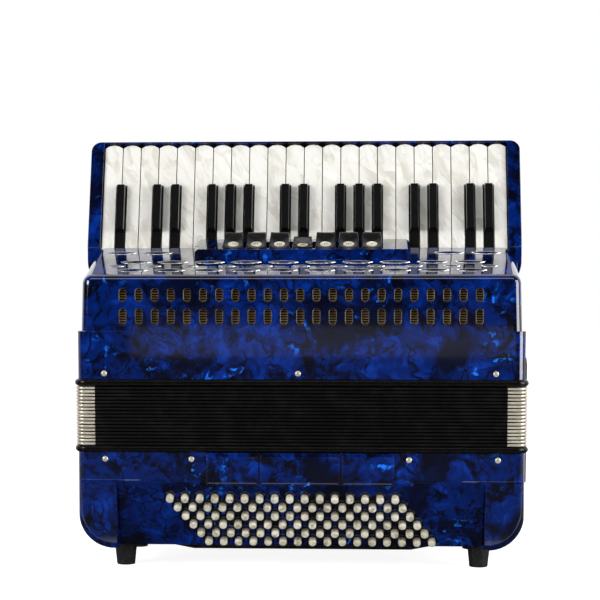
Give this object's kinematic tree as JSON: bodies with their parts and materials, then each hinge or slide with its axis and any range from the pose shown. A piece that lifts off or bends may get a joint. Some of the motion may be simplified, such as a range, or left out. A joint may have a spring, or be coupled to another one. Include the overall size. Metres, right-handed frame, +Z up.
{
  "type": "piano accordion",
  "caption": "Piano accordion standing on its bass feet: piano keyboard, slotted grille with register switches, folded bellows, bass casing with a slanted button board.",
  "frame": {"origin": "on the surface that the feet stand on, under the middle of the instrument's box", "axes": "+X along the keyboard towards its low notes, +Y from the grille front towards the player, +Z up from the bass casing to the keyboard"},
  "size_m": [0.443, 0.1972, 0.4195],
  "materials": {
    "blue_pearloid": "polished pearloid celluloid over wood",
    "white_pearl": "polished pearloid caps on wooden keys",
    "black_gloss": "polished black",
    "button_pearl": "polished",
    "frame_black": "satin black lacquer",
    "bellows_cloth": "black cloth over folded card",
    "louvre_metal": "satin",
    "axle_steel": "drawn",
    "bare_wood": "planed",
    "strap_leather": "smooth black",
    "foot_rubber": "moulded",
    "cover_black": "matt"
  },
  "bodies": {
    "bass_side": {"bass_casing": "blue_pearloid", "bass_button_board": "blue_pearloid", "bass_bottom_cover": "cover_black", "rubber_feet": "foot_rubber", "bass_reed_blocks": "bare_wood", "bass_bellows_frame": "frame_black", "hand_strap": "strap_leather", "bellows": "bellows_cloth"},
    "treble_side": {"treble_casing": "blue_pearloid", "treble_grille": "blue_pearloid", "grille_mesh": "louvre_metal", "keyboard_bed": "blue_pearloid", "key_axle": "axle_steel", "treble_reed_blocks": "bare_wood", "treble_bellows_frame": "frame_black"},
    "bass_note_buttons": {"bass_note_buttons": "button_pearl"},
    "chord_buttons": {"chord_buttons": "button_pearl"},
    "air_button": {"air_button": "button_pearl"},
    "bass_register_pads": {"bass_register_pads": "blue_pearloid"},
    "bellows_strap_left": {"bellows_strap_left": "strap_leather"},
    "bellows_strap_right": {"bellows_strap_right": "strap_leather"},
    "register_switches": {"register_switches": "black_gloss"},
    "selected_register_switch": {"selected_register_switch": "black_gloss"},
    "key_g3": {"key_g3": "white_pearl"},
    "key_g_sharp3": {"key_g_sharp3": "black_gloss"},
    "key_a3": {"key_a3": "white_pearl"},
    "key_a_sharp3": {"key_a_sharp3": "black_gloss"},
    "key_b3": {"key_b3": "white_pearl"},
    "key_c4": {"key_c4": "white_pearl"},
    "key_c_sharp4": {"key_c_sharp4": "black_gloss"},
    "key_d4": {"key_d4": "white_pearl"},
    "key_d_sharp4": {"key_d_sharp4": "black_gloss"},
    "key_e4": {"key_e4": "white_pearl"},
    "key_f4": {"key_f4": "white_pearl"},
    "key_f_sharp4": {"key_f_sharp4": "black_gloss"},
    "key_g4": {"key_g4": "white_pearl"},
    "key_g_sharp4": {"key_g_sharp4": "black_gloss"},
    "key_a4": {"key_a4": "white_pearl"},
    "key_a_sharp4": {"key_a_sharp4": "black_gloss"},
    "key_b4": {"key_b4": "white_pearl"},
    "key_c5": {"key_c5": "white_pearl"},
    "key_c_sharp5": {"key_c_sharp5": "black_gloss"},
    "key_d5": {"key_d5": "white_pearl"},
    "key_d_sharp5": {"key_d_sharp5": "black_gloss"},
    "key_e5": {"key_e5": "white_pearl"},
    "key_f5": {"key_f5": "white_pearl"},
    "key_f_sharp5": {"key_f_sharp5": "black_gloss"},
    "key_g5": {"key_g5": "white_pearl"},
    "key_g_sharp5": {"key_g_sharp5": "black_gloss"},
    "key_a5": {"key_a5": "white_pearl"},
    "key_a_sharp5": {"key_a_sharp5": "black_gloss"},
    "key_b5": {"key_b5": "white_pearl"},
    "key_c6": {"key_c6": "white_pearl"},
    "key_c_sharp6": {"key_c_sharp6": "black_gloss"},
    "key_d6": {"key_d6": "white_pearl"},
    "key_d_sharp6": {"key_d_sharp6": "black_gloss"},
    "key_e6": {"key_e6": "white_pearl"},
    "key_f6": {"key_f6": "white_pearl"},
    "key_f_sharp6": {"key_f_sharp6": "black_gloss"},
    "key_g6": {"key_g6": "white_pearl"}
  },
  "joints": [
    {"name": "bellows_open", "type": "slide", "parent": "bass_side", "child": "treble_side", "axis": [0, 0, 1], "range_m": [0, 0.42], "deforming": ["bellows"]},
    {"name": "register_switches_tilt", "type": "hinge", "parent": "treble_side", "child": "register_switches", "pos_m": [0, -0.02068, 0.30709], "axis": [-1, 0, 0], "range_deg": [0, 14]},
    {"name": "selected_switch_tilt", "type": "hinge", "parent": "treble_side", "child": "selected_register_switch", "pos_m": [0, -0.02068, 0.30709], "axis": [-1, 0, 0], "range_deg": [-14, 0]},
    {"name": "note_buttons_press", "type": "slide", "parent": "bass_side", "child": "bass_note_buttons", "axis": [0, 0.8988, 0.4384], "range_m": [0, 0.0035], "stiffness_N_per_m": 200, "springref_m": -0.005},
    {"name": "chord_buttons_press", "type": "slide", "parent": "bass_side", "child": "chord_buttons", "axis": [0, 0.8988, 0.4384], "range_m": [0, 0.0035], "stiffness_N_per_m": 200, "springref_m": -0.005},
    {"name": "bass_register_press", "type": "slide", "parent": "bass_side", "child": "bass_register_pads", "axis": [0, 1, 0], "range_m": [0, 0.002], "stiffness_N_per_m": 300, "springref_m": -0.003},
    {"name": "air_button_press", "type": "slide", "parent": "bass_side", "child": "air_button", "axis": [0, 0, 1], "range_m": [0, 0.0035], "stiffness_N_per_m": 200, "springref_m": -0.005},
    {"name": "bellows_strap_right_open", "type": "hinge", "parent": "bass_side", "child": "bellows_strap_right", "pos_m": [0.2199, 0, 0.0808], "axis": [0, 1, 0], "range_deg": [0, 100]},
    {"name": "bellows_strap_left_open", "type": "hinge", "parent": "bass_side", "child": "bellows_strap_left", "pos_m": [-0.2199, 0, 0.0808], "axis": [0, -1, 0], "range_deg": [0, 100]},
    {"name": "key_g3_press", "type": "hinge", "parent": "treble_side", "child": "key_g3", "pos_m": [0.19425, 0.01593, 0.28786], "axis": [-1, 0, 0], "range_deg": [0, 2.6], "stiffness_Nm_per_rad": 0.4, "springref_deg": -11.46},
    {"name": "key_g_sharp3_press", "type": "hinge", "parent": "treble_side", "child": "key_g_sharp3", "pos_m": [0.185, 0.01593, 0.28786], "axis": [-1, 0, 0], "range_deg": [0, 2.6], "stiffness_Nm_per_rad": 0.4, "springref_deg": -11.46},
    {"name": "key_a3_press", "type": "hinge", "parent": "treble_side", "child": "key_a3", "pos_m": [0.17575, 0.01593, 0.28786], "axis": [-1, 0, 0], "range_deg": [0, 2.6], "stiffness_Nm_per_rad": 0.4, "springref_deg": -11.46},
    {"name": "key_a_sharp3_press", "type": "hinge", "parent": "treble_side", "child": "key_a_sharp3", "pos_m": [0.1665, 0.01593, 0.28786], "axis": [-1, 0, 0], "range_deg": [0, 2.6], "stiffness_Nm_per_rad": 0.4, "springref_deg": -11.46},
    {"name": "key_b3_press", "type": "hinge", "parent": "treble_side", "child": "key_b3", "pos_m": [0.15725, 0.01593, 0.28786], "axis": [-1, 0, 0], "range_deg": [0, 2.6], "stiffness_Nm_per_rad": 0.4, "springref_deg": -11.46},
    {"name": "key_c4_press", "type": "hinge", "parent": "treble_side", "child": "key_c4", "pos_m": [0.13875, 0.01593, 0.28786], "axis": [-1, 0, 0], "range_deg": [0, 2.6], "stiffness_Nm_per_rad": 0.4, "springref_deg": -11.46},
    {"name": "key_c_sharp4_press", "type": "hinge", "parent": "treble_side", "child": "key_c_sharp4", "pos_m": [0.1295, 0.01593, 0.28786], "axis": [-1, 0, 0], "range_deg": [0, 2.6], "stiffness_Nm_per_rad": 0.4, "springref_deg": -11.46},
    {"name": "key_d4_press", "type": "hinge", "parent": "treble_side", "child": "key_d4", "pos_m": [0.12025, 0.01593, 0.28786], "axis": [-1, 0, 0], "range_deg": [0, 2.6], "stiffness_Nm_per_rad": 0.4, "springref_deg": -11.46},
    {"name": "key_d_sharp4_press", "type": "hinge", "parent": "treble_side", "child": "key_d_sharp4", "pos_m": [0.111, 0.01593, 0.28786], "axis": [-1, 0, 0], "range_deg": [0, 2.6], "stiffness_Nm_per_rad": 0.4, "springref_deg": -11.46},
    {"name": "key_e4_press", "type": "hinge", "parent": "treble_side", "child": "key_e4", "pos_m": [0.10175, 0.01593, 0.28786], "axis": [-1, 0, 0], "range_deg": [0, 2.6], "stiffness_Nm_per_rad": 0.4, "springref_deg": -11.46},
    {"name": "key_f4_press", "type": "hinge", "parent": "treble_side", "child": "key_f4", "pos_m": [0.08325, 0.01593, 0.28786], "axis": [-1, 0, 0], "range_deg": [0, 2.6], "stiffness_Nm_per_rad": 0.4, "springref_deg": -11.46},
    {"name": "key_f_sharp4_press", "type": "hinge", "parent": "treble_side", "child": "key_f_sharp4", "pos_m": [0.074, 0.01593, 0.28786], "axis": [-1, 0, 0], "range_deg": [0, 2.6], "stiffness_Nm_per_rad": 0.4, "springref_deg": -11.46},
    {"name": "key_g4_press", "type": "hinge", "parent": "treble_side", "child": "key_g4", "pos_m": [0.06475, 0.01593, 0.28786], "axis": [-1, 0, 0], "range_deg": [0, 2.6], "stiffness_Nm_per_rad": 0.4, "springref_deg": -11.46},
    {"name": "key_g_sharp4_press", "type": "hinge", "parent": "treble_side", "child": "key_g_sharp4", "pos_m": [0.0555, 0.01593, 0.28786], "axis": [-1, 0, 0], "range_deg": [0, 2.6], "stiffness_Nm_per_rad": 0.4, "springref_deg": -11.46},
    {"name": "key_a4_press", "type": "hinge", "parent": "treble_side", "child": "key_a4", "pos_m": [0.04625, 0.01593, 0.28786], "axis": [-1, 0, 0], "range_deg": [0, 2.6], "stiffness_Nm_per_rad": 0.4, "springref_deg": -11.46},
    {"name": "key_a_sharp4_press", "type": "hinge", "parent": "treble_side", "child": "key_a_sharp4", "pos_m": [0.037, 0.01593, 0.28786], "axis": [-1, 0, 0], "range_deg": [0, 2.6], "stiffness_Nm_per_rad": 0.4, "springref_deg": -11.46},
    {"name": "key_b4_press", "type": "hinge", "parent": "treble_side", "child": "key_b4", "pos_m": [0.02775, 0.01593, 0.28786], "axis": [-1, 0, 0], "range_deg": [0, 2.6], "stiffness_Nm_per_rad": 0.4, "springref_deg": -11.46},
    {"name": "key_c5_press", "type": "hinge", "parent": "treble_side", "child": "key_c5", "pos_m": [0.00925, 0.01593, 0.28786], "axis": [-1, 0, 0], "range_deg": [0, 2.6], "stiffness_Nm_per_rad": 0.4, "springref_deg": -11.46},
    {"name": "key_c_sharp5_press", "type": "hinge", "parent": "treble_side", "child": "key_c_sharp5", "pos_m": [0, 0.01593, 0.28786], "axis": [-1, 0, 0], "range_deg": [0, 2.6], "stiffness_Nm_per_rad": 0.4, "springref_deg": -11.46},
    {"name": "key_d5_press", "type": "hinge", "parent": "treble_side", "child": "key_d5", "pos_m": [-0.00925, 0.01593, 0.28786], "axis": [-1, 0, 0], "range_deg": [0, 2.6], "stiffness_Nm_per_rad": 0.4, "springref_deg": -11.46},
    {"name": "key_d_sharp5_press", "type": "hinge", "parent": "treble_side", "child": "key_d_sharp5", "pos_m": [-0.0185, 0.01593, 0.28786], "axis": [-1, 0, 0], "range_deg": [0, 2.6], "stiffness_Nm_per_rad": 0.4, "springref_deg": -11.46},
    {"name": "key_e5_press", "type": "hinge", "parent": "treble_side", "child": "key_e5", "pos_m": [-0.02775, 0.01593, 0.28786], "axis": [-1, 0, 0], "range_deg": [0, 2.6], "stiffness_Nm_per_rad": 0.4, "springref_deg": -11.46},
    {"name": "key_f5_press", "type": "hinge", "parent": "treble_side", "child": "key_f5", "pos_m": [-0.04625, 0.01593, 0.28786], "axis": [-1, 0, 0], "range_deg": [0, 2.6], "stiffness_Nm_per_rad": 0.4, "springref_deg": -11.46},
    {"name": "key_f_sharp5_press", "type": "hinge", "parent": "treble_side", "child": "key_f_sharp5", "pos_m": [-0.0555, 0.01593, 0.28786], "axis": [-1, 0, 0], "range_deg": [0, 2.6], "stiffness_Nm_per_rad": 0.4, "springref_deg": -11.46},
    {"name": "key_g5_press", "type": "hinge", "parent": "treble_side", "child": "key_g5", "pos_m": [-0.06475, 0.01593, 0.28786], "axis": [-1, 0, 0], "range_deg": [0, 2.6], "stiffness_Nm_per_rad": 0.4, "springref_deg": -11.46},
    {"name": "key_g_sharp5_press", "type": "hinge", "parent": "treble_side", "child": "key_g_sharp5", "pos_m": [-0.074, 0.01593, 0.28786], "axis": [-1, 0, 0], "range_deg": [0, 2.6], "stiffness_Nm_per_rad": 0.4, "springref_deg": -11.46},
    {"name": "key_a5_press", "type": "hinge", "parent": "treble_side", "child": "key_a5", "pos_m": [-0.08325, 0.01593, 0.28786], "axis": [-1, 0, 0], "range_deg": [0, 2.6], "stiffness_Nm_per_rad": 0.4, "springref_deg": -11.46},
    {"name": "key_a_sharp5_press", "type": "hinge", "parent": "treble_side", "child": "key_a_sharp5", "pos_m": [-0.0925, 0.01593, 0.28786], "axis": [-1, 0, 0], "range_deg": [0, 2.6], "stiffness_Nm_per_rad": 0.4, "springref_deg": -11.46},
    {"name": "key_b5_press", "type": "hinge", "parent": "treble_side", "child": "key_b5", "pos_m": [-0.10175, 0.01593, 0.28786], "axis": [-1, 0, 0], "range_deg": [0, 2.6], "stiffness_Nm_per_rad": 0.4, "springref_deg": -11.46},
    {"name": "key_c6_press", "type": "hinge", "parent": "treble_side", "child": "key_c6", "pos_m": [-0.12025, 0.01593, 0.28786], "axis": [-1, 0, 0], "range_deg": [0, 2.6], "stiffness_Nm_per_rad": 0.4, "springref_deg": -11.46},
    {"name": "key_c_sharp6_press", "type": "hinge", "parent": "treble_side", "child": "key_c_sharp6", "pos_m": [-0.1295, 0.01593, 0.28786], "axis": [-1, 0, 0], "range_deg": [0, 2.6], "stiffness_Nm_per_rad": 0.4, "springref_deg": -11.46},
    {"name": "key_d6_press", "type": "hinge", "parent": "treble_side", "child": "key_d6", "pos_m": [-0.13875, 0.01593, 0.28786], "axis": [-1, 0, 0], "range_deg": [0, 2.6], "stiffness_Nm_per_rad": 0.4, "springref_deg": -11.46},
    {"name": "key_d_sharp6_press", "type": "hinge", "parent": "treble_side", "child": "key_d_sharp6", "pos_m": [-0.148, 0.01593, 0.28786], "axis": [-1, 0, 0], "range_deg": [0, 2.6], "stiffness_Nm_per_rad": 0.4, "springref_deg": -11.46},
    {"name": "key_e6_press", "type": "hinge", "parent": "treble_side", "child": "key_e6", "pos_m": [-0.15725, 0.01593, 0.28786], "axis": [-1, 0, 0], "range_deg": [0, 2.6], "stiffness_Nm_per_rad": 0.4, "springref_deg": -11.46},
    {"name": "key_f6_press", "type": "hinge", "parent": "treble_side", "child": "key_f6", "pos_m": [-0.17575, 0.01593, 0.28786], "axis": [-1, 0, 0], "range_deg": [0, 2.6], "stiffness_Nm_per_rad": 0.4, "springref_deg": -11.46},
    {"name": "key_f_sharp6_press", "type": "hinge", "parent": "treble_side", "child": "key_f_sharp6", "pos_m": [-0.185, 0.01593, 0.28786], "axis": [-1, 0, 0], "range_deg": [0, 2.6], "stiffness_Nm_per_rad": 0.4, "springref_deg": -11.46},
    {"name": "key_g6_press", "type": "hinge", "parent": "treble_side", "child": "key_g6", "pos_m": [-0.19425, 0.01593, 0.28786], "axis": [-1, 0, 0], "range_deg": [0, 2.6], "stiffness_Nm_per_rad": 0.4, "springref_deg": -11.46}
  ],
  "couplings": [
    {"joint": "selected_switch_tilt", "follows": "register_switches_tilt", "ratio": -1}
  ]
}
